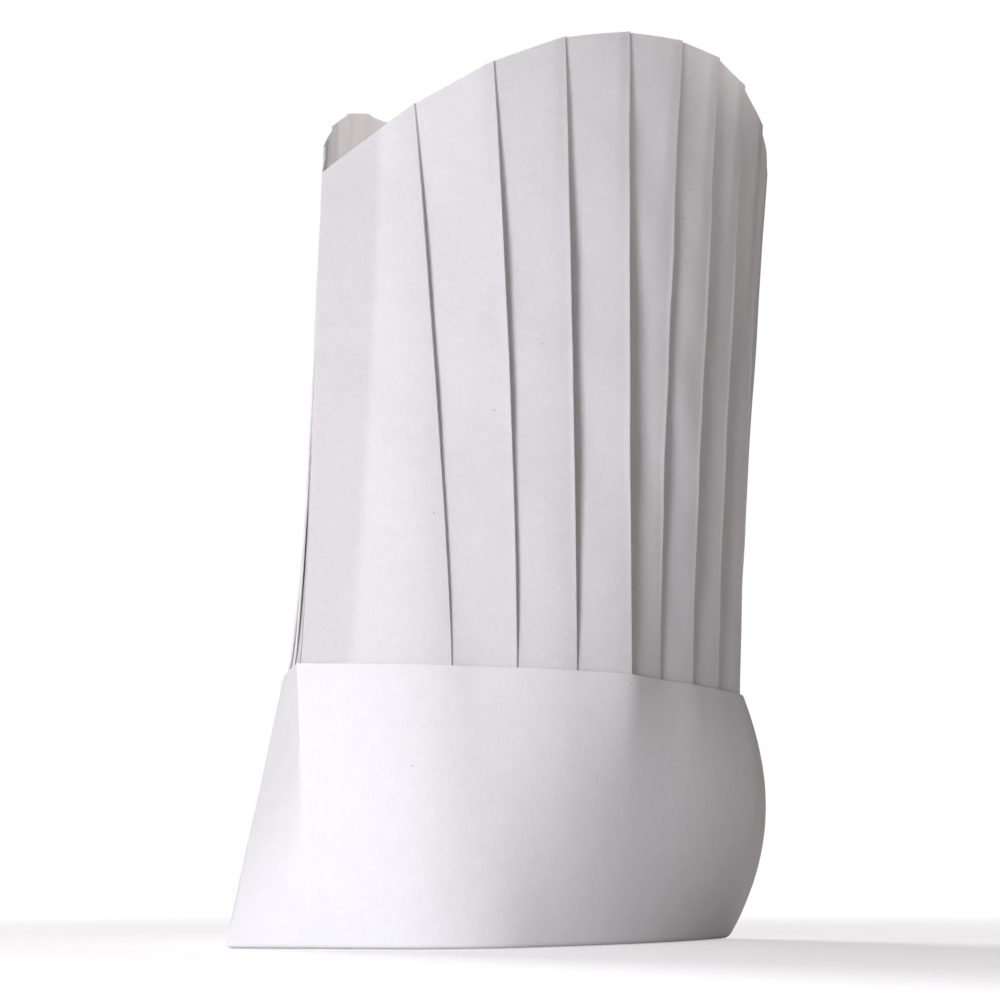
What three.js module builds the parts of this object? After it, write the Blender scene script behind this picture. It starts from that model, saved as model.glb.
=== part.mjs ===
// Tall pleated chef hat of white nonwoven paper. It stands on the folded rim of its cuff, open at the top.
// Millimetres, +Z up, the plain front panel faces -Y. The origin is on the surface that the hat stands on,
// in the middle of its bounding box.
import * as THREE from 'three';

// Driving dimensions
const cuffHeight = 91;
const turnUpHeight = 44.5;
const wall = 1.2;
const crownWall = 1;
const gap = 0.3;
const pleatCount = 23;
const plainPanelWidth = 51.5;
const pleatWidth = 23;
const pleatStep = 2;
const foldEdge = 0.05;
const tuck = 0.28;
const plainTuck = 0.14;
const crownFoot = 38;
const sheetThickness = 0.8;

// Heights of the cuff's section: the rim's chamfer, the slot between its walls, and the turn-up's curled lip.
const chamferTop = 1.2;
const slotFloor = 3;
const lipStart = 24;
const lipEnd = 37;
const aboveTurnUp = 45;
const upperCuff = 68;
const knotHeights = [0, lipStart, aboveTurnUp, upperCuff, cuffHeight];

// Plan of the cuff, anticlockwise from the front crease. "fold" is the place around the hat, counted in the
// crown's pleat folds. "rim" is the plan at the folded rim, "hem" the plan at the cuff's top edge, and "belly"
// how far the wall stands out between the two. A crease of 1 is a sharp fold there, and 0 a smooth bend.
const cuffPlan = [
  { fold: 0, rimX: -58, rimY: -91.5, hemX: -63, hemY: -93, belly: 0, rimCrease: 0, hemCrease: 1 },
  { fold: 0.9, rimX: -14, rimY: -96.5, hemX: -17, hemY: -88, belly: 0, rimCrease: 0, hemCrease: 0 },
  { fold: 1.5, rimX: 2, rimY: -90, hemX: -2, hemY: -82, belly: 0, rimCrease: 0, hemCrease: 0 },
  { fold: 2.6, rimX: 20.5, rimY: -72.5, hemX: 22, hemY: -73, belly: 1, rimCrease: 0, hemCrease: 0 },
  { fold: 5, rimX: 55, rimY: -29, hemX: 60, hemY: -35, belly: 3, rimCrease: 0, hemCrease: 0 },
  { fold: 7, rimX: 77, rimY: 13, hemX: 84, hemY: 5, belly: 8, rimCrease: 0, hemCrease: 0 },
  { fold: 8.4, rimX: 89, rimY: 45, hemX: 96, hemY: 35, belly: 11, rimCrease: 1, hemCrease: 0 },
  { fold: 9.7, rimX: 74, rimY: 65, hemX: 89, hemY: 61, belly: 7, rimCrease: 0, hemCrease: 0 },
  { fold: 11.3, rimX: 44, rimY: 87, hemX: 63, hemY: 83, belly: 4, rimCrease: 0, hemCrease: 0 },
  { fold: 12.8, rimX: 12, rimY: 97, hemX: 26, hemY: 94, belly: 2, rimCrease: 0, hemCrease: 0 },
  { fold: 14.4, rimX: -33, rimY: 87, hemX: -22, hemY: 92, belly: 0, rimCrease: 1, hemCrease: 0 },
  { fold: 17.2, rimX: -54, rimY: 36, hemX: -62, hemY: 52, belly: 0, rimCrease: 0, hemCrease: 0 },
  { fold: 19.1, rimX: -73, rimY: -5, hemX: -75, hemY: 12, belly: 0, rimCrease: 0, hemCrease: 0 },
  { fold: 21, rimX: -88, rimY: -44, hemX: -75, hemY: -27, belly: 0, rimCrease: 0, hemCrease: 0 },
  { fold: 22.4, rimX: -85.5, rimY: -86, hemX: -70, hemY: -60, belly: 0, rimCrease: 1, hemCrease: 0 },
];

// Plan of the crown's cut top edge, by pleat fold, anticlockwise from the front crease (fold 0). "cut" is the
// height of the edge, which is cut as a dome that drops at the front crease and at the fold opposite to it.
// "lean" bends the way up from the hem: above 1 the crown spreads late, below 1 it draws in early.
const crownPlan = [
  { fold: 0, x: -57, y: -93, cut: 258, lean: 0.7, crease: 1 },
  { fold: 1, x: -26, y: -94, cut: 282, lean: 1.2, crease: 0 },
  { fold: 2, x: 1, y: -90, cut: 299, lean: 1.6, crease: 0 },
  { fold: 3, x: 26, y: -77, cut: 313, lean: 1.6, crease: 0 },
  { fold: 5, x: 70, y: -41, cut: 326, lean: 1.3, crease: 0 },
  { fold: 7, x: 98, y: 7, cut: 327, lean: 1.2, crease: 0 },
  { fold: 9, x: 112, y: 60, cut: 309, lean: 1.1, crease: 0 },
  { fold: 10.5, x: 107, y: 96, cut: 283, lean: 1, crease: 0 },
  { fold: 12, x: 85, y: 118, cut: 268, lean: 1, crease: 0 },
  { fold: 13.5, x: 49, y: 124, cut: 285, lean: 1, crease: 0 },
  { fold: 15, x: 12, y: 114, cut: 306, lean: 1, crease: 0 },
  { fold: 17, x: -24, y: 79, cut: 321, lean: 0.9, crease: 0 },
  { fold: 19, x: -44, y: 31, cut: 321, lean: 0.8, crease: 0 },
  { fold: 21, x: -55, y: -20, cut: 306, lean: 0.7, crease: 0 },
  { fold: 22.5, x: -59, y: -57, cut: 284, lean: 0.7, crease: 0 },
];
const foldCount = pleatCount + 1;

// Places around the hat, counted in pleat folds: two close together at each fold edge and at each tucked edge,
// one between them, and more across the plain panel, which goes round the front crease.
const panelMiddle = 0.4;
const places = [0, 0.14, 0.3, 0.5, 0.7, 1 - plainTuck - foldEdge / 2, 1 - plainTuck];
for (let fold = 1; fold < pleatCount; fold += 1) {
  places.push(fold, fold + foldEdge, fold + panelMiddle, fold + 1 - tuck - foldEdge, fold + 1 - tuck);
}
places.push(pleatCount, pleatCount + foldEdge, pleatCount + panelMiddle, pleatCount + 0.75);

// Distance along the band from the front crease, at a place counted in pleat folds.
function alongBand(place) {
  return place < 1 ? place * plainPanelWidth : plainPanelWidth + (place - 1) * pleatWidth;
}

// Closed curve through one column of a plan table, smooth except at rows with a crease.
// "along" turns a place counted in folds into the distance that the curve is smooth in.
function planCurve(plan, column, crease, along) {
  const lap = along(foldCount);
  const row = (index) => plan[(index + plan.length) % plan.length];
  const at = (index) => along(row(index).fold) + Math.floor(index / plan.length) * lap;
  const chord = (index) => (row(index + 1)[column] - row(index)[column]) / (at(index + 1) - at(index));
  const slope = (index, sideChord) => {
    const before = at(index) - at(index - 1);
    const after = at(index + 1) - at(index);
    const smooth = (chord(index - 1) * after + chord(index) * before) / (before + after);
    return row(index)[crease] ? sideChord : smooth;
  };
  return (place) => {
    const distance = along(place);
    const index = plan.findLastIndex((entry) => along(entry.fold) <= distance);
    const span = at(index + 1) - at(index);
    const t = (distance - at(index)) / span;
    const leave = slope(index, chord(index)) * span;
    const arrive = slope(index + 1, chord(index)) * span;
    const start = row(index)[column] * (1 + 2 * t) * (1 - t) ** 2 + leave * t * (1 - t) ** 2;
    const end = row(index + 1)[column] * t * t * (3 - 2 * t) - arrive * t * t * (1 - t);
    return start + end;
  };
}

// Value of one plan column at every place.
function aroundCuff(column, crease) {
  return places.map(planCurve(cuffPlan, column, crease, alongBand));
}

function aroundCrown(column) {
  return places.map(planCurve(crownPlan, column, 'crease', (place) => place));
}

// A closed anticlockwise ring moved inwards by a distance for each point, with corners mitred so that the
// wall between the two rings stays parallel.
function insetRing(ring, distances) {
  const inward = ring.map((point, index) => {
    const edge = ring[(index + 1) % ring.length].clone().sub(point).normalize();
    return new THREE.Vector2(-edge.y, edge.x);
  });
  return ring.map((point, index) => {
    const before = inward[(index + ring.length - 1) % ring.length];
    const after = inward[index];
    const mitre = before.clone().add(after).divideScalar(1 + before.dot(after));
    const distance = typeof distances === 'number' ? distances : distances[index];
    return point.clone().addScaledVector(mitre, distance);
  });
}

function blendRings(low, high, share) {
  return low.map((point, index) => point.clone().lerp(high[index], share));
}

// A ring at one height, or at a height for each point.
function raise(ring, heights) {
  return ring.map((point, index) => {
    const height = typeof heights === 'number' ? heights : heights[index];
    return new THREE.Vector3(point.x, point.y, height);
  });
}

const ringOf = (xs, ys) => xs.map((x, index) => new THREE.Vector2(x, ys[index]));
const rimRing = ringOf(aroundCuff('rimX', 'rimCrease'), aroundCuff('rimY', 'rimCrease'));
const hemRing = ringOf(aroundCuff('hemX', 'hemCrease'), aroundCuff('hemY', 'hemCrease'));
const belly = aroundCuff('belly', 'rimCrease');
const knotRings = knotHeights.map((height) => {
  const rise = height / cuffHeight;
  const bulge = belly.map((out) => -out * 4 * rise * (1 - rise));
  return insetRing(blendRings(rimRing, hemRing, rise), bulge);
});

// Outer face of the cuff at any height, straight between the knot heights.
function cuffRing(height) {
  const knot = Math.min(knotHeights.findLastIndex((low) => low <= height), knotHeights.length - 2);
  const share = (height - knotHeights[knot]) / (knotHeights[knot + 1] - knotHeights[knot]);
  return blendRings(knotRings[knot], knotRings[knot + 1], share);
}

// Closed mesh from rows of points that run along the hat and follow one another round its section. The first
// "outerRows" rows are the outer face, and the faces after them are split the other way, as seen from outside,
// so that both faces of a wall fold on the same lines. A piece that doesn't go right round is capped.
function meshOfRows(name, rows, outerRows, goesRound, material) {
  const width = rows[0].length;
  const indices = [];
  rows.forEach((row, rowIndex) => {
    const here = rowIndex * width;
    const above = ((rowIndex + 1) % rows.length) * width;
    for (let column = 0; column < (goesRound ? width : width - 1); column += 1) {
      const next = (column + 1) % width;
      const corners = [here + column, here + next, above + next, above + column];
      const split = rowIndex < outerRows - 1 ? [0, 1, 2, 0, 2, 3] : [0, 1, 3, 1, 2, 3];
      indices.push(...split.map((corner) => corners[corner]));
    }
  });
  if (!goesRound) {
    const mirror = (row) => rows.length - 1 - row;
    for (let row = 0; row < outerRows - 1; row += 1) {
      const start = [row, row + 1, mirror(row + 1), mirror(row)].map((index) => index * width);
      const end = start.map((index) => index + width - 1);
      indices.push(start[0], start[1], start[2], start[0], start[2], start[3]);
      indices.push(end[0], end[2], end[1], end[0], end[3], end[2]);
    }
  }
  const geometry = new THREE.BufferGeometry();
  const positions = rows.flat().flatMap((point) => point.toArray());
  geometry.setAttribute('position', new THREE.Float32BufferAttribute(positions, 3));
  geometry.setIndex(indices);
  geometry.computeVertexNormals();
  const mesh = new THREE.Mesh(geometry, material);
  mesh.name = name;
  return mesh;
}

// Section of the cuff: how far inside its outer face each corner lies, and at what height.
const slotWidth = 1.6;
const lipSlotWidth = 3.7;
const chamfer = 0.8;
const turnUpBack = wall + slotWidth;
const lipBack = wall + lipSlotWidth;
const cuffSection = [
  { inset: chamfer, height: 0 },
  { inset: 0, height: chamferTop },
  ...knotHeights.slice(1).map((height) => ({ inset: 0, height })),
  ...knotHeights.slice(1).reverse().map((height) => ({ inset: wall, height })),
  { inset: wall, height: slotFloor },
  { inset: turnUpBack, height: slotFloor },
  { inset: turnUpBack, height: lipStart },
  { inset: lipBack, height: lipEnd },
  { inset: lipBack, height: turnUpHeight },
  { inset: lipBack + wall, height: turnUpHeight },
  { inset: lipBack + wall, height: lipEnd },
  { inset: turnUpBack + wall, height: lipStart },
  { inset: turnUpBack + wall, height: chamferTop },
  { inset: turnUpBack + wall - chamfer, height: 0 },
];

// The cuff is one band folded at the rim: a tall wall outside and a short turn-up inside.
function cuff(material) {
  const rows = cuffSection.map((corner) =>
    raise(insetRing(cuffRing(corner.height), corner.inset), corner.height));
  return meshOfRows('cuff', rows, knotHeights.length + 1, true, material);
}

// Depth of the crown's outer face behind its fold edges. Each panel rises to its fold edge, and the next one
// starts deeper, under it. The plain panel rises across the front crease.
function outerDepth(place) {
  if (place < 1) return pleatStep * (1 - place) / 2;
  if (place > pleatCount) return pleatStep * (1 - (place - pleatCount) / 2);
  const sinceFold = place % 1;
  return sinceFold === 0 ? 0 : pleatStep * (1 - sinceFold);
}

// Depth of its inner face. Under each fold edge the tucked start of the next panel makes the wall thicker.
function innerDepth(place) {
  const sinceFold = place % 1;
  const overlap = place < 1 ? plainTuck : tuck;
  const tucked = place < pleatCount && sinceFold > 1 - overlap - foldEdge / 4;
  const atFold = place >= 1 && sinceFold === 0;
  return tucked || atFold ? pleatStep + crownWall : outerDepth(place) + crownWall;
}

// Rows of the crown above the cuff, as shares of the height from the hem to the cut edge.
const crownRises = [0, 0.13, 0.3, 0.5, 0.7, 0.86, 1];

// The crown is a pleated tube whose lower edge is held between the cuff's two walls.
function crown(material) {
  const seat = wall + gap;
  const topRing = ringOf(aroundCrown('x'), aroundCrown('y'));
  const cut = aroundCrown('cut');
  const lean = aroundCrown('lean');
  const foot = [crownFoot, aboveTurnUp, upperCuff].map((height) => ({
    plan: insetRing(cuffRing(height), seat),
    heights: height,
  }));
  const base = insetRing(hemRing, seat);
  const tube = crownRises.map((rise) => ({
    plan: base.map((point, index) => point.clone().lerp(topRing[index], rise ** lean[index])),
    heights: cut.map((height) => cuffHeight + rise * (height - cuffHeight)),
  }));
  const rings = [...foot, ...tube];
  const face = (depths) => rings.map((ring) => raise(insetRing(ring.plan, depths), ring.heights));
  const rows = [...face(places.map(outerDepth)), ...face(places.map(innerDepth)).reverse()];
  return meshOfRows('crown', rows, rings.length, true, material);
}

// Inset of the turn-up's inner face, which leans in where the lip makes room for the crown's foot.
function turnUpFace(height) {
  const lipShare = THREE.MathUtils.clamp((height - lipStart) / (lipEnd - lipStart), 0, 1);
  return THREE.MathUtils.lerp(turnUpBack, lipBack, lipShare) + wall;
}

// A sheet that lies on the inner face of the turn-up, from one place to another.
function sheetOnTurnUp(name, sheet, material) {
  const first = places.findIndex((place) => place > sheet.from - foldEdge / 4);
  const last = places.findIndex((place) => place > sheet.to - foldEdge / 4);
  const between = [lipStart, lipEnd].filter((height) => height > sheet.low && height < sheet.high);
  const heights = [sheet.low, ...between, sheet.high];
  const face = (extra) => heights.map((height) => {
    const ring = insetRing(cuffRing(height), turnUpFace(height) + extra);
    return raise(ring.slice(first, last + 1), height);
  });
  const rows = [...face(gap), ...face(gap + sheetThickness).reverse()];
  return meshOfRows(name, rows, heights.length, false, material);
}

// The band's free end lies over the turn-up from the back crease to the label, whose end it meets.
const lapEnd = 18 - tuck;
const lapSheet = { from: 14 + panelMiddle, to: lapEnd - foldEdge, low: 1.5, high: 43.5 };
const labelSheet = { from: lapEnd, to: 20 + panelMiddle, low: 5.7, high: 41 };

const crownPaper = new THREE.MeshStandardMaterial({ color: 0xe9e9ee, roughness: 0.9, metalness: 0 });
const cuffPaper = new THREE.MeshStandardMaterial({ color: 0xf6f6fa, roughness: 0.9, metalness: 0 });
const labelPaper = new THREE.MeshStandardMaterial({ color: 0x8fa3d6, roughness: 0.6, metalness: 0 });

const hat = new THREE.Group();
hat.add(crown(crownPaper));
hat.add(cuff(cuffPaper));
hat.add(sheetOnTurnUp('band_lap', lapSheet, cuffPaper));
hat.add(sheetOnTurnUp('label', labelSheet, labelPaper));

const box = new THREE.Box3().setFromObject(hat);
const middle = box.getCenter(new THREE.Vector3());
hat.position.set(-middle.x, -middle.y, -box.min.z);

export default hat;
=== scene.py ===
"""Tall chef hat of white nonwoven paper, standing on the folded rim of its cuff, open at the top."""

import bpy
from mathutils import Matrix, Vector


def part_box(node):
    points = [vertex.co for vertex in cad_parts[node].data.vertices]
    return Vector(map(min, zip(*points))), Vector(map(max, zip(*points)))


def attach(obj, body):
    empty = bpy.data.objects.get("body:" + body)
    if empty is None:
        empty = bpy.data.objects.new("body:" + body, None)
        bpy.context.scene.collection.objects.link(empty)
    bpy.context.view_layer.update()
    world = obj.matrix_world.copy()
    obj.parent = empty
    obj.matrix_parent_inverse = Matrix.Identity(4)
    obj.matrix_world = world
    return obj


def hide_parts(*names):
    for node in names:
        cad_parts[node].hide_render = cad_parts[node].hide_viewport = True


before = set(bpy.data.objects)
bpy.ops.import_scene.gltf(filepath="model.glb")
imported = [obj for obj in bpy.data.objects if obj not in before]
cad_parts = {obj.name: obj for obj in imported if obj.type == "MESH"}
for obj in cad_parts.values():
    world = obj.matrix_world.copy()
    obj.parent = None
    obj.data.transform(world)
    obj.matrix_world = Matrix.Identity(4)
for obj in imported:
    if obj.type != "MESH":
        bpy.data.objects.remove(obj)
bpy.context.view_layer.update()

import math
from collections import namedtuple

import bpy
import numpy as np
from mathutils import Vector

# Cuff
# One band of white viscose nonwoven paper, folded at the rim: a tall wall outside and a short turn-up
# inside whose lip curls a little. The crown's foot is glued between the two, and the wall goes round a
# sharp crease at the front left that softens towards the rim.

MM = 0.001
FOLDS = 24
PLAIN_PANEL_WIDTH = 51.5
PLEAT_WIDTH = 23.0

CUFF_HEIGHT = 91.0
CUFF_PAPER = 0.5
RIM_FOLD_RADIUS = 1.75
TURN_UP_INSET = CUFF_PAPER / 2 + 2 * RIM_FOLD_RADIUS

# Plan of the cuff in millimetres, anticlockwise from the front crease. "fold" counts the crown's pleat
# folds round the hat, "rim" is the folded lower edge, "hem" the upper edge, and "belly" how far the wall
# stands out between them.
CuffRow = namedtuple("CuffRow", "fold rim_x rim_y hem_x hem_y belly rim_crease hem_crease")
CUFF_PLAN = [
    CuffRow(0, -58, -91.5, -63, -93, 0, 0, 1),
    CuffRow(0.9, -14, -96.5, -17, -88, 0, 0, 0),
    CuffRow(1.5, 2, -90, -2, -82, 0, 0, 0),
    CuffRow(2.6, 20.5, -72.5, 22, -73, 1, 0, 0),
    CuffRow(5, 55, -29, 60, -35, 3, 0, 0),
    CuffRow(7, 77, 13, 84, 5, 8, 0, 0),
    CuffRow(8.4, 89, 45, 96, 35, 11, 1, 0),
    CuffRow(9.7, 74, 65, 89, 61, 7, 0, 0),
    CuffRow(11.3, 44, 87, 63, 83, 4, 0, 0),
    CuffRow(12.8, 12, 97, 26, 94, 2, 0, 0),
    CuffRow(14.4, -33, 87, -22, 92, 0, 1, 0),
    CuffRow(17.2, -54, 36, -62, 52, 0, 0, 0),
    CuffRow(19.1, -73, -5, -75, 12, 0, 0, 0),
    CuffRow(21, -88, -44, -75, -27, 0, 0, 0),
    CuffRow(22.4, -85.5, -86, -70, -60, 0, 1, 0),
]


def along_band(place):
    """Distance along the band from the front crease, at a place counted in folds."""
    place = np.asarray(place, float)
    return np.where(place < 1, place * PLAIN_PANEL_WIDTH, PLAIN_PANEL_WIDTH + (place - 1) * PLEAT_WIDTH)


def plan_curve(rows, column, crease, along, places):
    """Values of one plan column at the places, smooth except at the rows with a crease."""
    at = along(np.array([row.fold for row in rows], float))
    value = np.array([getattr(row, column) for row in rows], float)
    sharp = np.array([getattr(row, crease) for row in rows], bool)
    span = np.diff(np.append(at, at[0] + along(FOLDS)))
    chord = (np.roll(value, -1) - value) / span
    span_before = np.roll(span, 1)
    smooth = (np.roll(chord, 1) * span + chord * span_before) / (span_before + span)
    leave = np.where(sharp, chord, smooth) * span
    arrive = np.where(np.roll(sharp, -1), chord, np.roll(smooth, -1)) * span
    distance = along(np.asarray(places, float) % FOLDS)
    row = np.searchsorted(at, distance, side="right") - 1
    t = (distance - at[row]) / span[row]
    start = value[row] * (1 + 2 * t) * (1 - t) ** 2 + leave[row] * t * (1 - t) ** 2
    end = np.roll(value, -1)[row] * t * t * (3 - 2 * t) - arrive[row] * t * t * (1 - t)
    return start + end


def inset(ring_at, places, distance, nudge=0.01):
    """Points of a closed plan curve, a function of place, moved inwards and mitred at its corners. The way
    in is square to the curve a nudge of a fold to either side."""
    here = ring_at(places)
    sides = [here - ring_at(places - nudge), ring_at(places + nudge) - here]
    square = [np.stack([-side[:, 1], side[:, 0]], 1) for side in sides]
    before, after = [way / np.linalg.norm(way, axis=1)[:, None] for way in square]
    mitre = (before + after) / (1 + (before * after).sum(1))[:, None]
    return here + mitre * np.broadcast_to(distance, len(here))[:, None]


def cuff_ring(places, height):
    """Outer face of the cuff at one height."""
    rise = height / CUFF_HEIGHT

    def straight(at):
        low = [plan_curve(CUFF_PLAN, "rim_" + axis, "rim_crease", along_band, at) for axis in "xy"]
        high = [plan_curve(CUFF_PLAN, "hem_" + axis, "hem_crease", along_band, at) for axis in "xy"]
        return np.stack(low, 1) * (1 - rise) + np.stack(high, 1) * rise

    belly = plan_curve(CUFF_PLAN, "belly", "rim_crease", along_band, places)
    return inset(straight, places, -belly * 4 * rise * (1 - rise))


# Where the pleats press on its upper edge, the wall dips a little behind each fold, and at the fold right
# of the front, where the flat front turns to the side, it stands out in a blunt corner.
DIP_DEPTH = 0.4
CORNER_FOLD = 4
CORNER_BULGE = 4.0
PRESSED_BAND = 48.0
PRESSED_FADE = 1.5


def facet(places, height):
    """How far the wall lies behind its curve, near its upper edge. The dip is one at a third of the way
    from fold to fold."""
    near_edge = np.clip(1 - (CUFF_HEIGHT - height) / PRESSED_BAND, 0, 1) ** PRESSED_FADE
    past_fold = places % 1
    dip = np.where(places % FOLDS < 1, 0, 27 / 4 * past_fold * (1 - past_fold) ** 2)
    corner = np.clip(1 - abs(places % FOLDS - CORNER_FOLD), 0, 1)
    return near_edge * (DIP_DEPTH * dip - CORNER_BULGE * corner)


# The plan's origin is the middle of the rim, and the frame's is the middle of the whole hat.
PLAN_STEPS = 1200
PLAN_LEVELS = 13
all_places = np.linspace(0, FOLDS, PLAN_STEPS + 1)[:-1]
plan_heights = np.linspace(0, CUFF_HEIGHT, PLAN_LEVELS)
plan_low = np.min([cuff_ring(all_places, height).min(0) for height in plan_heights], axis=0)
cad_low = np.array(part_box("cuff")[0]) / MM
PLAN_SHIFT = np.array([cad_low[0] - plan_low[0], cad_low[1] - plan_low[1], 0])


def new_piece(name, rows, closed):
    """Mesh object at the origin, from rows of points in millimetres. A closed one goes all the way round."""
    points = (np.concatenate(rows) + PLAN_SHIFT) * MM
    columns = len(rows[0])
    faces = []
    for here in range(0, columns * (len(rows) - 1), columns):
        for column in range(columns if closed else columns - 1):
            after = (column + 1) % columns
            faces.append((here + column, here + after, here + columns + after, here + columns + column))
    mesh = bpy.data.meshes.new(name)
    mesh.from_pydata(points.tolist(), [], faces)
    piece = bpy.data.objects.new(name, mesh)
    bpy.context.scene.collection.objects.link(piece)
    return piece


def give_thickness(piece, thickness, sharp_angle):
    """Turns a sheet's middle surface into paper with square edges, smooth up to the angle in degrees."""
    paper = piece.modifiers.new("paper", "SOLIDIFY")
    paper.thickness = thickness * MM
    paper.offset = 0
    paper.use_even_offset = False
    evaluated = piece.evaluated_get(bpy.context.evaluated_depsgraph_get())
    made = bpy.data.meshes.new_from_object(evaluated)
    piece.modifiers.clear()
    piece.data = made
    made.name = piece.name
    made.polygons.foreach_set("use_smooth", np.ones(len(made.polygons), bool))
    made.set_sharp_from_angle(angle=math.radians(sharp_angle))


# Columns: the corners, and places a third of a pleat apart that keep clear of them.
PLAIN_COLUMNS = 7
PLEAT_COLUMNS = 3
CLEAR_OF_CORNER = 0.22
corners = [row.fold for row in CUFF_PLAN if row.rim_crease or row.hem_crease]
steps = [k / PLAIN_COLUMNS for k in range(1, PLAIN_COLUMNS)]
steps += [1 + k / PLEAT_COLUMNS for k in range(PLEAT_COLUMNS * (FOLDS - 1))]
clear = [at for at in steps if all(abs(at - corner) > CLEAR_OF_CORNER for corner in corners[1:] + [FOLDS])]
cuff_places = np.array(sorted(corners + clear))

# The paper's section, from the upper edge down, round the rim fold and up the turn-up to its curled lip.
# "curl" is how far the turn-up leans in.
SectionPoint = namedtuple("SectionPoint", "inset height")
TurnUpPoint = namedtuple("TurnUpPoint", "height curl")
WALL_HEIGHTS = (CUFF_HEIGHT, 89.5, 84, 76, 68, 60, 52, 44, 36, 28, 20, 12, 7)
TURN_UP = [
    TurnUpPoint(7, 0),
    TurnUpPoint(13, 0),
    TurnUpPoint(19, 0),
    TurnUpPoint(24, 0),
    TurnUpPoint(30, 0.7),
    TurnUpPoint(37, 1.9),
    TurnUpPoint(41, 2.1),
    TurnUpPoint(44.5, 2.8),
]
RIM_FOLD_STEP = 30
wall_mid = CUFF_PAPER / 2
cuff_section = [SectionPoint(wall_mid, height) for height in WALL_HEIGHTS]
for turn in np.radians(range(0, 181, RIM_FOLD_STEP)):
    across = RIM_FOLD_RADIUS * (1 - math.cos(turn))
    drop = RIM_FOLD_RADIUS * (1 - math.sin(turn))
    cuff_section.append(SectionPoint(wall_mid + across, wall_mid + drop))
cuff_section += [SectionPoint(TURN_UP_INSET + point.curl, point.height) for point in TURN_UP]
cuff_rows = []
for point in cuff_section:
    depth = point.inset + facet(cuff_places, point.height)
    ring = inset(lambda at: cuff_ring(at, point.height), cuff_places, depth)
    cuff_rows.append(np.column_stack([ring, np.full(len(ring), point.height)]))
cuff = new_piece("cuff_band", cuff_rows, True)

# The corners keep a crease while the rest is rounded, and the front crease fades towards the rim.
CREASE_SHARPNESS = 0.8
CREASE_FADE = 0.6
CUFF_SHARP_ANGLE = 50
crease = cuff.data.attributes.new("crease_edge", "FLOAT", "EDGE")
columns = len(cuff_places)
plan_at = {row.fold: row for row in CUFF_PLAN}
for edge in cuff.data.edges:
    first, second = sorted(edge.vertices)
    row = plan_at.get(cuff_places[first % columns])
    if second - first == columns and row:
        rise = cuff_section[first // columns].height / CUFF_HEIGHT
        share = row.rim_crease * (1 - rise) + row.hem_crease * rise
        crease.data[edge.index].value = CREASE_SHARPNESS * share**CREASE_FADE
rounding = cuff.modifiers.new("rounding", "SUBSURF")
rounding.levels = 2
rounding.render_levels = 2
give_thickness(cuff, CUFF_PAPER, CUFF_SHARP_ANGLE)


def srgb(hex_colour):
    """Linear colour of an sRGB hex value."""
    parts = [int(hex_colour[i : i + 2], 16) / 255 for i in (0, 2, 4)]
    return tuple(c / 12.92 if c <= 0.04045 else ((c + 0.055) / 1.055) ** 2.4 for c in parts) + (1.0,)


def add_node(tree, kind, settings=None, links=None):
    """Adds a node. A setting is the node's own, or else the value of the input with that name or number."""
    node = tree.nodes.new(kind)
    given = settings or {}
    own = [key for key in given if isinstance(key, str) and hasattr(node, key)]
    for key in own:
        setattr(node, key, given[key])
    for key in given:
        if key not in own:
            node.inputs[key].default_value = given[key]
    for key, socket in (links or {}).items():
        tree.links.new(socket, node.inputs[key])
    return node


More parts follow.
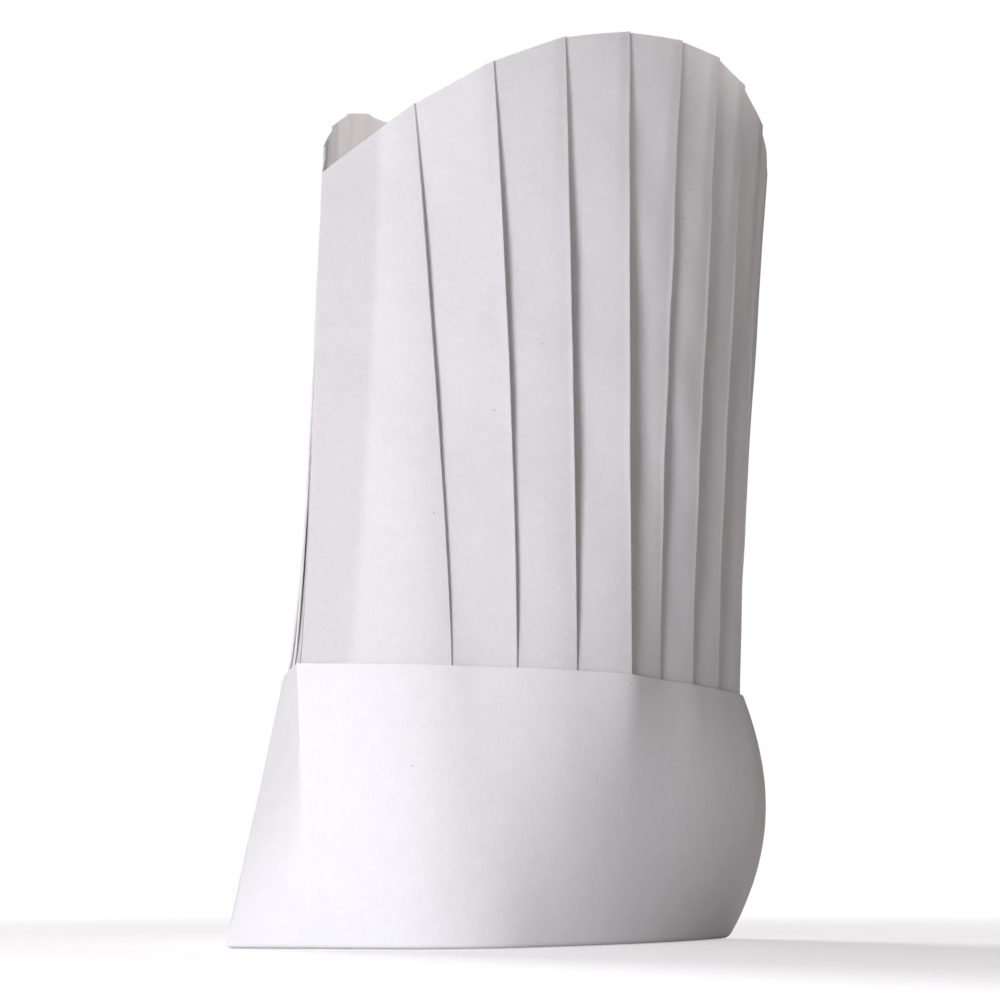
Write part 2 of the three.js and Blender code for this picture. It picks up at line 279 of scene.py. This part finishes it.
def nonwoven_paper(name, thick, thin, see_through, lap_shade=None):
    """Viscose nonwoven, a soft matt paper of pressed random fibres that lets some light through. The web is
    thinner in faint clouds, its fibres lie all ways, it has cockled slightly, and a few dark specks are in
    it. Colours are those of thick and thin places, see_through is the share of the light that it lets
    through, and lap_shade is a painted shade on the glue lap, darker where two layers let less light
    through."""
    material = bpy.data.materials.new(name)
    material.use_nodes = True
    tree = material.node_tree
    place = add_node(tree, "ShaderNodeTexCoord").outputs["Object"]
    cloud_size = 7 * MM
    speck_spacing = 13 * MM
    speck_radius = 0.32 * MM
    speck_heart = 0.6
    speck_colour = "9E9997"

    # Real fibres are about 0.02 mm wide, too fine to show, so they are drawn as coarse strands.
    fibre_width = 0.5 * MM
    fibre_slimness = 0.3
    fibre_leans = (-55, 5, 65)
    thinnest_web = 1.6
    thickest_web = 2.4

    clouds = add_node(
        tree,
        "ShaderNodeTexNoise",
        {"Scale": 1 / cloud_size, "Detail": 4.0, "Roughness": 0.6},
        {"Vector": place},
    )
    web = clouds.outputs["Fac"]
    for leaning in fibre_leans:
        lie = add_node(
            tree,
            "ShaderNodeMapping",
            {"Rotation": [math.radians(leaning)] * 3, "Scale": (1.0, 1.0, fibre_slimness)},
            {"Vector": place},
        ).outputs[0]
        fibre = add_node(
            tree,
            "ShaderNodeTexNoise",
            {"Scale": 1 / fibre_width, "Detail": 1.0},
            {"Vector": lie},
        ).outputs["Fac"]
        web = add_node(tree, "ShaderNodeMath", {"operation": "ADD"}, {0: web, 1: fibre}).outputs[0]
    density = add_node(
        tree,
        "ShaderNodeMapRange",
        {"From Min": thinnest_web, "From Max": thickest_web},
        {"Value": web},
    ).outputs[0]
    colour = add_node(
        tree,
        "ShaderNodeMix",
        {"data_type": "RGBA", 6: srgb(thin), 7: srgb(thick)},
        {0: density},
    ).outputs[2]

    # Painted shade: the glue lap is darkened in place of the light that two layers would keep out.
    if lap_shade:
        layers = add_node(tree, "ShaderNodeAttribute", {"attribute_name": "glue_lap"}).outputs["Fac"]
        colour = add_node(
            tree,
            "ShaderNodeMix",
            {"data_type": "RGBA", "blend_type": "MULTIPLY", 7: srgb(lap_shade)},
            {0: layers, 6: colour},
        ).outputs[2]

    from_speck = add_node(
        tree, "ShaderNodeTexVoronoi", {"Scale": 1 / speck_spacing, "Randomness": 1.0}, {"Vector": place}
    ).outputs["Distance"]
    clean = add_node(
        tree,
        "ShaderNodeMapRange",
        {"From Min": speck_heart * speck_radius / speck_spacing, "From Max": speck_radius / speck_spacing},
        {"Value": from_speck},
    ).outputs[0]
    colour = add_node(
        tree, "ShaderNodeMix", {"data_type": "RGBA", 6: srgb(speck_colour)}, {0: clean, 7: colour}
    ).outputs[2]

    cockle_size = 11 * MM
    cockle_height = 0.8 * MM
    fibre_height = 0.12 * MM
    cockle = add_node(
        tree,
        "ShaderNodeTexNoise",
        {"Scale": 1 / cockle_size, "Detail": 3.0, "Roughness": 0.5},
        {"Vector": place},
    ).outputs["Fac"]
    cockled = add_node(
        tree, "ShaderNodeBump", {"Strength": 0.3, "Distance": cockle_height}, {"Height": cockle}
    ).outputs[0]
    fibrous = add_node(
        tree,
        "ShaderNodeBump",
        {"Strength": 0.18, "Distance": fibre_height},
        {"Height": density, "Normal": cockled},
    ).outputs[0]
    shader = tree.nodes["Principled BSDF"]
    tree.links.new(colour, shader.inputs["Base Color"])
    tree.links.new(fibrous, shader.inputs["Normal"])
    shader.inputs["Roughness"].default_value = 0.88
    shader.inputs["IOR"].default_value = 1.47
    shader.inputs["Specular IOR Level"].default_value = 0.25
    shader.inputs["Sheen Weight"].default_value = 0.06
    shader.inputs["Sheen Roughness"].default_value = 0.6
    glow = add_node(
        tree, "ShaderNodeBsdfTranslucent", {}, {"Color": colour, "Normal": fibrous}
    ).outputs[0]
    paper = add_node(tree, "ShaderNodeMixShader", {0: see_through}, {1: shader.outputs[0], 2: glow})
    tree.links.new(paper.outputs[0], tree.nodes["Material Output"].inputs["Surface"])
    return material


cuff.data.materials.append(nonwoven_paper("cuff_nonwoven", "F6F6F6", "F1F0F0", 0.1))
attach(cuff, "root")
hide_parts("cuff")

# Crown
# One sheet of a lighter nonwoven, pressed into 23 knife pleats and a plain panel that goes round the
# front crease. At each fold the paper turns back under itself and comes out again as the next panel, a
# step deeper. The upper edge is cut through all layers as a dome, and the foot is glued in the cuff.

CROWN_PAPER = 0.36
CROWN_FOOT = 38.0
HEM_INSET = 1.15
PLEAT_PAPER = 36.0
PLAIN_TUCK = 6.6
LEAST_TUCK = 3.0
MOST_TUCK = 6.5

# Plan of the cut upper edge in millimetres, with the height that it is cut at. "lean" bends the way up
# from the hem: above 1 the crown spreads late, below 1 it draws in early.
CrownRow = namedtuple("CrownRow", "fold x y cut lean crease")
CROWN_PLAN = [
    CrownRow(0, -57, -93, 258, 0.7, 1),
    CrownRow(1, -26, -94, 282, 1.2, 0),
    CrownRow(2, 1, -90, 299, 1.6, 0),
    CrownRow(3, 26, -77, 313, 1.6, 0),
    CrownRow(5, 70, -41, 326, 1.3, 0),
    CrownRow(7, 98, 7, 327, 1.2, 0),
    CrownRow(9, 112, 60, 309, 1.1, 0),
    CrownRow(10.5, 107, 96, 283, 1, 0),
    CrownRow(12, 85, 118, 268, 1, 0),
    CrownRow(13.5, 49, 124, 285, 1, 0),
    CrownRow(15, 12, 114, 306, 1, 0),
    CrownRow(17, -24, 79, 321, 0.9, 0),
    CrownRow(19, -44, 31, 321, 0.8, 0),
    CrownRow(21, -55, -20, 306, 0.7, 0),
    CrownRow(22.5, -59, -57, 284, 0.7, 0),
]
PANEL_FLATNESS = 0.85

# How deep a panel starts under the fold edge before it, as a share of the deepest step, by the number of
# its own fold edge. It is most at the right of the front, the left wall's panels lie flat, and those at
# the back have the usual one.
FRONT_LIFT = {1: 0.3, 2: 0.5, 3: 0.85, 4: 1.1, 5: 0.85, 6: 0.8, 7: 0.65}
LEFT_LIFT = {21: 0.3, 22: 0.22, 23: 0.16, FOLDS: 0.16}
PANEL_LIFT = FRONT_LIFT | LEFT_LIFT
USUAL_LIFT = 0.5

# The panels round the right of the front are slack: at mid height their waves are higher by this factor.
PANEL_SLACK = {4: 0.3, 5: 1.6, 6: 1.8, 7: 1.4, 8: 0.7}

# The waves fade to this share of their height at the fold edges, which stay nearly straight.
EDGE_SWAY = 0.3


def crown_value(column, places):
    """Value of one column of the crown's plan, nearly straight from fold to fold."""

    def curve(at):
        return plan_curve(CROWN_PLAN, column, "crease", lambda place: np.asarray(place, float), at)

    fold = np.floor(places)
    straight = curve(fold) + (places - fold) * (curve(fold + 1) - curve(fold))
    return PANEL_FLATNESS * straight + (1 - PANEL_FLATNESS) * curve(places)


def crown_ring(places, height, rise):
    """Surface that the fold edges lie in, at one height below the hem or one share of the way above it."""
    low = inset(lambda at: cuff_ring(at, height), places, HEM_INSET + facet(places, height))
    top = np.stack([crown_value("x", places), crown_value("y", places)], 1)
    share = np.zeros(len(places)) if rise == 0 else rise ** crown_value("lean", places)
    return low + (top - low) * share[:, None]


# The columns of one pleat in the order of the paper: over the panel, round the fold edge, back under it,
# round the inner fold and forward again. "back" counts in tucks, "depth" in steps and "layers" in papers.
PleatPoint = namedtuple("PleatPoint", "forward back depth layers")
PANEL_BEND = 0.85
FOLD_NOSE = 0.012
RIDGE_FROM = 0.965
RIDGE_STEP = 0.035


def on_panel(share):
    """Point on a panel, which starts deep under the fold edge before it and rises to its own ridge."""
    behind = 1 - share**PANEL_BEND
    return PleatPoint(share, 0, behind + (RIDGE_STEP if share <= RIDGE_FROM else 0), 2 * behind)


panel_shares = [0, 0.03, 0.12, 0.25, 0.4, 0.55, 0.7, 0.82, 0.92, RIDGE_FROM, 0.985, 1]
tucked = [
    PleatPoint(1 + FOLD_NOSE, 0, 0.05, 0.5),
    PleatPoint(1, 0, 0.1, 1),
    PleatPoint(1, 0.5, 0.4, 1),
    PleatPoint(1, 1, 0.7, 1),
    PleatPoint(1 - FOLD_NOSE, 1, 0.85, 1.5),
    PleatPoint(1, 1, 1, 2),
    PleatPoint(1, 0.5, 1, 2),
]
pleat_points = [on_panel(share) for share in panel_shares] + tucked
PLAIN_POINTS = 25
plain_points = [PleatPoint(share, 0, 0, 0) for share in np.linspace(0, 1, PLAIN_POINTS)] + tucked
corner_points = [on_panel(share) for share in panel_shares[:-1]]
paper_columns = [(0, point) for point in plain_points]
paper_columns += [(fold, point) for fold in range(1, FOLDS - 1) for point in pleat_points]
paper_columns += [(FOLDS - 1, point) for point in corner_points]
column_fold = np.array([fold for fold, point in paper_columns])
column_forward = np.array([point.forward for fold, point in paper_columns])
column_back = np.array([point.back for fold, point in paper_columns])
column_depth = np.array([point.depth for fold, point in paper_columns])
column_layers = np.array([point.layers for fold, point in paper_columns])
edge_fold = column_fold + 1

ROWS_ABOVE_HEM = 45
foot_heights = [CROWN_FOOT, 45, 52, 60, 68, 76, 84, 88]
levels = [(height, 0) for height in foot_heights]
levels += [(CUFF_HEIGHT, rise) for rise in np.linspace(0, 1, ROWS_ABOVE_HEM)]
crown_rows = []
inward_rows = []
sway_rows = []
for height, rise in levels:
    edges = crown_ring(np.arange(FOLDS + 1) % FOLDS, height, rise)
    pitch = np.linalg.norm(np.diff(edges, axis=0), axis=1)
    tuck = np.clip((PLEAT_PAPER - pitch) / 2, LEAST_TUCK, MOST_TUCK)
    tuck[0] = PLAIN_TUCK
    places = column_fold + column_forward - column_back * (tuck / pitch)[column_fold]
    ring = crown_ring(places, height, rise)
    inward_rows.append(inset(lambda at: crown_ring(at, height, rise), places, 1, nudge=0.12) - ring)
    sway_rows.append(EDGE_SWAY + (1 - EDGE_SWAY) * np.sin(math.pi * places) ** 2)
    heights = height + rise * (crown_value("cut", places) - CUFF_HEIGHT)
    crown_rows.append(np.column_stack([ring, heights]))
crown = new_piece("crown_pleats", crown_rows, True)


def store(piece, name, kind, values):
    """Keeps one value or vector for each point of a piece's mesh."""
    attribute = piece.data.attributes.new(name, kind, "POINT")
    field = "vector" if kind == "FLOAT_VECTOR" else "value"
    attribute.data.foreach_set(field, np.asarray(values, float).ravel())


row_count = len(levels)
inward = np.concatenate(inward_rows)
store(crown, "inward", "FLOAT_VECTOR", np.column_stack([inward, np.zeros(len(inward))]))
store(crown, "pleat_depth", "FLOAT", np.tile(column_depth, row_count))
store(crown, "layers", "FLOAT", np.tile(column_layers, row_count))
store(crown, "lift", "FLOAT", np.tile([PANEL_LIFT.get(edge, USUAL_LIFT) for edge in edge_fold], row_count))
store(crown, "slack", "FLOAT", np.tile([PANEL_SLACK.get(edge, 0) for edge in edge_fold], row_count))
store(crown, "fold", "FLOAT", np.tile(column_fold, row_count))
store(crown, "sway", "FLOAT", np.concatenate(sway_rows))
panel_rise = np.repeat([rise for height, rise in levels], len(paper_columns))
store(crown, "rise", "FLOAT", panel_rise)

# The paper's two ends are glued over each other behind the plain panel. The second layer is not drawn:
# instead the paper's colour is darkened there as painted shade, a faint strip beside the crease where two
# layers let less light through. It takes a third of the panel at the hem and more higher up, as the panel
# narrows.
LAP_AT_HEM = 0.34
LAP_AT_TOP = 0.62
LAP_FADE = 0.07
lap_edge = LAP_AT_HEM + (LAP_AT_TOP - LAP_AT_HEM) * panel_rise
lap_share = np.clip((lap_edge - np.tile(column_forward, row_count)) / LAP_FADE + 0.5, 0, 1)
store(crown, "glue_lap", "FLOAT", np.where(np.tile(column_fold, row_count) == 0, lap_share, 0))


def knife_pleats():
    """Geometry nodes that push a smooth tube of paper into pleats. Each point goes inwards by the papers
    over it and its share of the step, which swells from the hem to mid height and differs a little from
    fold to fold. The panels also wave in and out between their fold edges."""
    tree = bpy.data.node_groups.new("knife_pleats", "GeometryNodeTree")
    tree.is_modifier = True
    tree.interface.new_socket("Geometry", in_out="OUTPUT", socket_type="NodeSocketGeometry")
    tree.interface.new_socket("Geometry", in_out="INPUT", socket_type="NodeSocketGeometry")
    steps = ("Layer Gap", "Step at Hem", "Step at Middle", "Step Variation", "Step Unevenness")
    for name in steps + ("Wave Height", "Wave Length"):
        tree.interface.new_socket(name, in_out="INPUT", socket_type="NodeSocketFloat")
    tree.interface.new_socket("Seed", in_out="INPUT", socket_type="NodeSocketInt")
    tree.interface.new_socket("Paper", in_out="INPUT", socket_type="NodeSocketMaterial")
    given = add_node(tree, "NodeGroupInput").outputs
    kept = {}
    for name in ("rise", "fold", "lift", "slack", "sway", "pleat_depth", "layers", "inward"):
        kind = "FLOAT_VECTOR" if name == "inward" else "FLOAT"
        node = add_node(tree, "GeometryNodeInputNamedAttribute", {"data_type": kind, "Name": name})
        kept[name] = node.outputs["Attribute"]

    half_turn = add_node(tree, "ShaderNodeMath", {"operation": "MULTIPLY", 1: math.pi}, {0: kept["rise"]})
    swell = add_node(tree, "ShaderNodeMath", {"operation": "SINE"}, {0: half_turn.outputs[0]})
    extra = add_node(
        tree,
        "ShaderNodeMath",
        {"operation": "SUBTRACT"},
        {0: given["Step at Middle"], 1: given["Step at Hem"]},
    )
    step = add_node(
        tree,
        "ShaderNodeMath",
        {"operation": "MULTIPLY_ADD"},
        {0: swell.outputs[0], 1: extra.outputs[0], 2: given["Step at Hem"]},
    )
    differ = add_node(
        tree,
        "FunctionNodeRandomValue",
        {"data_type": "FLOAT", 2: -0.5, 3: 0.5},
        {"ID": kept["fold"], "Seed": given["Seed"]},
    )
    factor = add_node(
        tree,
        "ShaderNodeMath",
        {"operation": "MULTIPLY_ADD"},
        {0: differ.outputs[1], 1: given["Step Variation"], 2: kept["lift"]},
    )
    even = add_node(
        tree, "ShaderNodeMath", {"operation": "MULTIPLY"}, {0: step.outputs[0], 1: factor.outputs[0]}
    )

    position = add_node(tree, "GeometryNodeInputPosition").outputs[0]
    scale = add_node(tree, "ShaderNodeMath", {"operation": "DIVIDE", 0: 1.0}, {1: given["Wave Length"]})
    noise = add_node(
        tree, "ShaderNodeTexNoise", {"Detail": 1.0}, {"Vector": position, "Scale": scale.outputs[0]}
    )
    centred = add_node(tree, "ShaderNodeMath", {"operation": "SUBTRACT", 1: 0.5}, {0: noise.outputs[0]})
    off_place = add_node(tree, "ShaderNodeVectorMath", {"operation": "ADD", 1: (1, 1, 1)}, {0: position})
    other = add_node(
        tree,
        "ShaderNodeTexNoise",
        {"Detail": 0.0},
        {"Vector": off_place.outputs[0], "Scale": scale.outputs[0]},
    )
    stray = add_node(tree, "ShaderNodeMath", {"operation": "SUBTRACT", 1: 0.5}, {0: other.outputs[0]})
    uneven = add_node(
        tree,
        "ShaderNodeMath",
        {"operation": "MULTIPLY_ADD", 2: 1.0},
        {0: stray.outputs[0], 1: given["Step Unevenness"]},
    )
    deepest = add_node(
        tree, "ShaderNodeMath", {"operation": "MULTIPLY"}, {0: even.outputs[0], 1: uneven.outputs[0]}
    )
    full_wave_at = 0.2
    above_hem = add_node(
        tree,
        "ShaderNodeMath",
        {"operation": "MULTIPLY", "use_clamp": True, 1: 1 / full_wave_at},
        {0: kept["rise"]},
    )
    taller = add_node(
        tree,
        "ShaderNodeMath",
        {"operation": "MULTIPLY_ADD"},
        {0: swell.outputs[0], 1: kept["slack"], 2: above_hem.outputs[0]},
    )
    height = add_node(
        tree, "ShaderNodeMath", {"operation": "MULTIPLY"}, {0: taller.outputs[0], 1: given["Wave Height"]}
    )
    swayed = add_node(
        tree, "ShaderNodeMath", {"operation": "MULTIPLY"}, {0: height.outputs[0], 1: kept["sway"]}
    )
    wave = add_node(
        tree, "ShaderNodeMath", {"operation": "MULTIPLY"}, {0: centred.outputs[0], 1: swayed.outputs[0]}
    )
    flat_depth = add_node(
        tree,
        "ShaderNodeMath",
        {"operation": "MULTIPLY_ADD"},
        {0: kept["layers"], 1: given["Layer Gap"], 2: wave.outputs[0]},
    )
    depth = add_node(
        tree,
        "ShaderNodeMath",
        {"operation": "MULTIPLY_ADD"},
        {0: deepest.outputs[0], 1: kept["pleat_depth"], 2: flat_depth.outputs[0]},
    )
    push = add_node(
        tree, "ShaderNodeVectorMath", {"operation": "SCALE"}, {0: kept["inward"], "Scale": depth.outputs[0]}
    )
    moved = add_node(
        tree, "GeometryNodeSetPosition", {}, {"Geometry": given["Geometry"], "Offset": push.outputs[0]}
    )
    real = add_node(tree, "GeometryNodeRealizeInstances", {}, {0: moved.outputs[0]})
    painted = add_node(
        tree, "GeometryNodeSetMaterial", {}, {0: real.outputs[0], "Material": given["Paper"]}
    )
    add_node(tree, "NodeGroupOutput", {}, {0: painted.outputs[0]})
    return tree


AIR_BETWEEN_LAYERS = 0.06
CROWN_SHARP_ANGLE = 38
crown_inputs = {
    "Layer Gap": (CROWN_PAPER + AIR_BETWEEN_LAYERS) * MM,
    "Step at Hem": 0.25 * MM,
    "Step at Middle": 7.6 * MM,
    "Step Variation": 0.25,
    "Step Unevenness": 1.4,
    "Wave Height": 3.6 * MM,
    "Wave Length": 52 * MM,
    "Seed": 7,
    # The glue lap's darker tint is painted shade.
    "Paper": nonwoven_paper("crown_nonwoven", "F7F6F6", "F1F0F0", 0.25, lap_shade="F4F3F3"),
}
pleating = crown.modifiers.new("pleating", "NODES")
pleating.node_group = knife_pleats()
for socket in pleating.node_group.interface.items_tree:
    if socket.name in crown_inputs:
        pleating[socket.identifier] = crown_inputs[socket.name]
give_thickness(crown, CROWN_PAPER, CROWN_SHARP_ANGLE)
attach(crown, "root")
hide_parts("crown")

# Band lap
# The free end of the cuff's band, a second layer glued over the turn-up inside, from the back crease to
# the label. Its upright cut edge shows beside the label.

LAP_FROM = 14.4
LAP_TO = 17.67
LAP_PAPER = 0.5
LAP_LOW = 1.5
LAP_HIGH = 43.5
LAP_LIFT = 0.15
SHEET_ROWS = 15
SHEET_SHARP_ANGLE = 40


def turn_up_face(height):
    """Inset of the turn-up's inner face at one height."""
    risen = [point for point in cuff_section if point.inset >= TURN_UP_INSET - 0.01]
    middle = np.interp(height, [point.height for point in risen], [point.inset for point in risen])
    return middle + CUFF_PAPER / 2


def sheet_on_turn_up(name, places, low, high, paper, lift):
    """Sheet that lies on the turn-up's inner face, between two heights, lifted off it a little."""
    rows = []
    for height in np.linspace(low, high, SHEET_ROWS):
        depth = turn_up_face(height) + lift + paper / 2
        ring = inset(lambda at: cuff_ring(at, height), places, depth)
        rows.append(np.column_stack([ring, np.full(len(places), height)]))
    piece = new_piece(name, rows[::-1], False)
    flat_map = piece.data.uv_layers.new(name="flat")
    along = np.tile(along_band(places) - along_band(places[0]), len(rows))
    up = np.repeat(np.linspace(high - low, 0, len(rows)), len(places))
    loops = [loop.vertex_index for loop in piece.data.loops]
    flat_map.data.foreach_set("uv", np.column_stack([along, up])[loops].ravel() * MM)
    give_thickness(piece, paper, SHEET_SHARP_ANGLE)
    return piece


LAP_COLUMNS = 22
after_corner = np.linspace(LAP_FROM + CLEAR_OF_CORNER, LAP_TO, LAP_COLUMNS)
lap_places = np.concatenate([[LAP_FROM], after_corner])
lap = sheet_on_turn_up("band_lap_sheet", lap_places, LAP_LOW, LAP_HIGH, LAP_PAPER, LAP_LIFT)
lap.data.materials.append(cuff.data.materials[0])
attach(lap, "root")
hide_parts("band_lap")

# Label
# A thin coated paper label, glued on the turn-up beside the lap. Its print is generic: a pale panel with
# a fine double border and a plain band of blue along its upper edge.

LABEL_FROM = 17.72
LABEL_TO = 20.4
LABEL_PAPER = 0.2
LABEL_LOW = 5.7
LABEL_HIGH = 41.0
LABEL_LIFT = 0.12


def coated_label(name, width, height):
    """Coated label paper, flexo printed in solid spot colours on a pale ground: satin, and faintly mottled
    where the ink lies. The print is measured from the rounded edge that the border follows."""
    material = bpy.data.materials.new(name)
    material.use_nodes = True
    tree = material.node_tree
    border_radius = 4.5 * MM
    middle = Vector((width / 2, height / 2, 0)) * MM
    corner_middle = middle - Vector((border_radius, border_radius, 0))
    flat = add_node(tree, "ShaderNodeUVMap", {"uv_map": "flat"}).outputs[0]
    off = add_node(tree, "ShaderNodeVectorMath", {"operation": "SUBTRACT", 1: middle}, {0: flat}).outputs[0]
    side = add_node(tree, "ShaderNodeVectorMath", {"operation": "ABSOLUTE"}, {0: off}).outputs[0]
    past = add_node(
        tree, "ShaderNodeVectorMath", {"operation": "SUBTRACT", 1: corner_middle}, {0: side}
    ).outputs[0]
    in_corner = add_node(
        tree, "ShaderNodeVectorMath", {"operation": "MAXIMUM", 1: (0, 0, 0)}, {0: past}
    ).outputs[0]
    radius = add_node(tree, "ShaderNodeVectorMath", {"operation": "LENGTH"}, {0: in_corner}).outputs["Value"]
    from_edge = add_node(
        tree, "ShaderNodeMath", {"operation": "SUBTRACT", 0: border_radius}, {1: radius}
    ).outputs[0]

    mottle_size = 0.9 * MM
    mottle = add_node(
        tree, "ShaderNodeTexNoise", {"Scale": 1 / mottle_size, "Detail": 3.0}, {"Vector": flat}
    ).outputs["Fac"]
    colour = add_node(
        tree, "ShaderNodeMix", {"data_type": "RGBA", 6: srgb("D0CFDB"), 7: srgb("DBDAE4")}, {0: mottle}
    ).outputs[2]
    border_lines = (("B5333F", 2.6, 0.7), ("2C4FA3", 4.0, 0.8))
    for ink, line_place, line_width in border_lines:
        printed = add_node(
            tree,
            "ShaderNodeMath",
            {"operation": "COMPARE", 1: line_place * MM, 2: line_width * MM / 2},
            {0: from_edge},
        ).outputs[0]
        colour = add_node(
            tree, "ShaderNodeMix", {"data_type": "RGBA", 7: srgb(ink)}, {0: printed, 6: colour}
        ).outputs[2]

    band_height = 7.9 * MM
    band_inset = 5.6 * MM
    up = add_node(tree, "ShaderNodeSeparateXYZ", {}, {0: flat}).outputs[1]
    band_foot = height * MM - band_inset - band_height
    high = add_node(tree, "ShaderNodeMath", {"operation": "GREATER_THAN", 1: band_foot}, {0: up}).outputs[0]
    within = add_node(
        tree, "ShaderNodeMath", {"operation": "GREATER_THAN", 1: band_inset}, {0: from_edge}
    ).outputs[0]
    band = add_node(tree, "ShaderNodeMath", {"operation": "MULTIPLY"}, {0: high, 1: within}).outputs[0]
    blue = add_node(
        tree, "ShaderNodeMix", {"data_type": "RGBA", 6: srgb("2450B0"), 7: srgb("2F5BBE")}, {0: mottle}
    ).outputs[2]
    colour = add_node(tree, "ShaderNodeMix", {"data_type": "RGBA"}, {0: band, 6: colour, 7: blue}).outputs[2]
    uneven = add_node(tree, "ShaderNodeBump", {"Strength": 0.2, "Distance": 0.05 * MM}, {"Height": mottle})
    shader = tree.nodes["Principled BSDF"]
    tree.links.new(colour, shader.inputs["Base Color"])
    tree.links.new(uneven.outputs[0], shader.inputs["Normal"])
    shader.inputs["Roughness"].default_value = 0.42
    return material


LABEL_COLUMNS = 20
label_places = np.linspace(LABEL_FROM, LABEL_TO, LABEL_COLUMNS)
label = sheet_on_turn_up("label_sheet", label_places, LABEL_LOW, LABEL_HIGH, LABEL_PAPER, LABEL_LIFT)
label_width = float(along_band(LABEL_TO) - along_band(LABEL_FROM))
label.data.materials.append(coated_label("label_print", label_width, LABEL_HIGH - LABEL_LOW))
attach(label, "root")
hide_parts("label")

# Floor, light and camera
# A plain white studio: the floor carries a painted glow, seen only by the camera, weak near the hat and
# rising to the white of the background further off, which leaves a soft shadow round the hat. A cool key
# light stands at the front left, warm light fills the shade, one from behind on the left shines through the
# paper and clears the left edge, and a narrow one reaches over the right side into the crown. The camera
# stands where the photograph's does, but just above the floor.

FLOOR_RADIUS = 12.0
FLOOR_LEVEL = -0.0002
bpy.ops.mesh.primitive_circle_add(
    vertices=96, radius=FLOOR_RADIUS, fill_type="NGON", location=(0, 0, FLOOR_LEVEL)
)
floor = bpy.context.object
floor.name = "studio_floor"
floor_paint = bpy.data.materials.new("matt_floor")
floor_paint.use_nodes = True
tree = floor_paint.node_tree
shader = tree.nodes["Principled BSDF"]
shader.inputs["Base Color"].default_value = srgb("EDEDEE")
shader.inputs["Roughness"].default_value = 0.95
shader.inputs["Specular IOR Level"].default_value = 0.1
shader.inputs["Emission Color"].default_value = srgb("FFFFFF")
place = add_node(tree, "ShaderNodeTexCoord").outputs["Object"]
distance = add_node(tree, "ShaderNodeVectorMath", {"operation": "LENGTH"}, {0: place}).outputs["Value"]
# Painted glow for the camera only: weak near the hat, rising to white further off.
floor_glow = add_node(
    tree,
    "ShaderNodeMapRange",
    {"interpolation_type": "SMOOTHSTEP", "From Min": 0.1, "From Max": 1.2, "To Min": 0.42, "To Max": 0.8},
    {"Value": distance},
).outputs[0]
seen_by_camera = add_node(tree, "ShaderNodeLightPath").outputs["Is Camera Ray"]
lit_up = add_node(tree, "ShaderNodeMath", {"operation": "MULTIPLY"}, {0: floor_glow, 1: seen_by_camera}).outputs[0]
tree.links.new(lit_up, shader.inputs["Emission Strength"])
floor.data.materials.append(floor_paint)

FILL_STRENGTH = 0.21
world = bpy.data.worlds.new("studio")
bpy.context.scene.world = world
world.use_nodes = True
tree = world.node_tree
fill = tree.nodes["Background"]
fill.inputs["Color"].default_value = srgb("FFF4F2")
fill.inputs["Strength"].default_value = FILL_STRENGTH
backdrop = add_node(tree, "ShaderNodeBackground", {"Color": srgb("FFFFFF"), "Strength": 1.0}).outputs[0]
seen_by_camera = add_node(tree, "ShaderNodeLightPath").outputs["Is Camera Ray"]
mixed = add_node(tree, "ShaderNodeMixShader", {}, {0: seen_by_camera, 1: fill.outputs[0], 2: backdrop})
tree.links.new(mixed.outputs[0], tree.nodes["World Output"].inputs["Surface"])


def lamp(name, kind, colour, place, aim, strength):
    """Light of one kind at a place, turned to face another. Strength is in watts, or for a distant light
    in watts a square metre."""
    light = bpy.data.lights.new(name, kind)
    light.color = srgb(colour)[:3]
    light.energy = strength
    holder = bpy.data.objects.new(name, light)
    holder.location = place
    holder.rotation_euler = (Vector(place) - Vector(aim)).to_track_quat("Z", "Y").to_euler()
    holder.visible_camera = False
    bpy.context.scene.collection.objects.link(holder)
    return light


KEY_PLACE = (-0.22, -0.72, 0.07)
KEY_AIM = (0, 0, 0.11)
KEY_WATTS = 3.75
KEY_WIDTH = 0.17
key = lamp("key_light", "AREA", "F7F7FF", KEY_PLACE, KEY_AIM, KEY_WATTS)
key.shape = "DISK"
key.size = KEY_WIDTH

BACK_PLACE = (-0.7, 1.0, 0.7)
BACK_AIM = (0, 0, 0.15)
BACK_STRENGTH = 1.8
BACK_SPREAD = 25
back = lamp("back_light", "SUN", "FFFFFF", BACK_PLACE, BACK_AIM, BACK_STRENGTH)
back.angle = math.radians(BACK_SPREAD)

INSIDE_PLACE = (0.5, 0, 0.65)
INSIDE_AIM = (-0.055, -0.005, 0.3)
INSIDE_WATTS = 10
INSIDE_CONE = 13
INSIDE_SIZE = 0.02
inside = lamp("inside_light", "SPOT", "FFFAF8", INSIDE_PLACE, INSIDE_AIM, INSIDE_WATTS)
inside.spot_size = math.radians(INSIDE_CONE)
inside.spot_blend = 0.6
inside.shadow_soft_size = INSIDE_SIZE

CAMERA_PLACE = (-0.0011, -0.80, 0.02)
CAMERA_PITCH = 10.2
CAMERA_YAW = 0.6
CAMERA_LENS = 77.0
camera_data = bpy.data.cameras.new("camera")
camera_data.lens = CAMERA_LENS
camera_data.sensor_width = 36.0
camera = bpy.data.objects.new("camera", camera_data)
camera.location = CAMERA_PLACE
camera.rotation_euler = (math.radians(90 + CAMERA_PITCH), 0, math.radians(CAMERA_YAW))
bpy.context.scene.collection.objects.link(camera)
bpy.context.scene.camera = camera
bpy.context.scene.view_settings.view_transform = "Standard"
